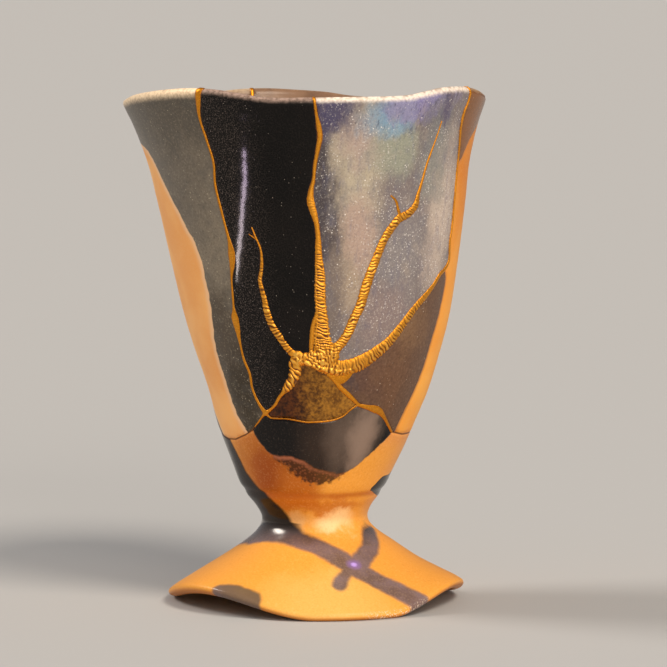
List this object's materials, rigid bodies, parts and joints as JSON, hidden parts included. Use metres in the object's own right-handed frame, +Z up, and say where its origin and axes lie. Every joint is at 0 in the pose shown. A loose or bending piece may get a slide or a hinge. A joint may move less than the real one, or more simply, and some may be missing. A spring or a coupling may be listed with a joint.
{
  "type": "kintsugi goblet",
  "caption": "Handmade stoneware goblet with a wavy rim and foot, broken into differently glazed sherds and joined with raised gold-covered lacquer seams.",
  "frame": {"origin": "on the floor under the middle of the rim", "axes": "+Z up, -Y towards the front where the gold seams meet, +X to the right of it"},
  "size_m": [0.0987, 0.0989, 0.1417],
  "materials": {
    "grey_glaze": "speckled warm grey glaze, thinning out to bare orange clay",
    "black_glaze": "gloss black glaze with fine pale specks",
    "blue_lustre_glaze": "gloss lustre glaze, blue-violet at the rim to teal and yellow-green",
    "brown_glaze": "purplish brown glaze at the rim over satin orange clay",
    "orange_clay": "thinly glazed orange stoneware with dark glaze pours",
    "amber_lacquer": "hard gloss amber-brown lacquer filling",
    "gold": "gold powder burnished on raised, ridged lacquer"
  },
  "bodies": {
    "root": {"grey_sherd": "grey_glaze", "black_sherd": "black_glaze", "blue_sherd": "blue_lustre_glaze", "brown_sherd": "brown_glaze", "foot_sherd": "orange_clay", "lacquer_fill": "amber_lacquer", "gold_seams": "gold", "back_gold_seam": "gold"}
  },
  "joints": []
}
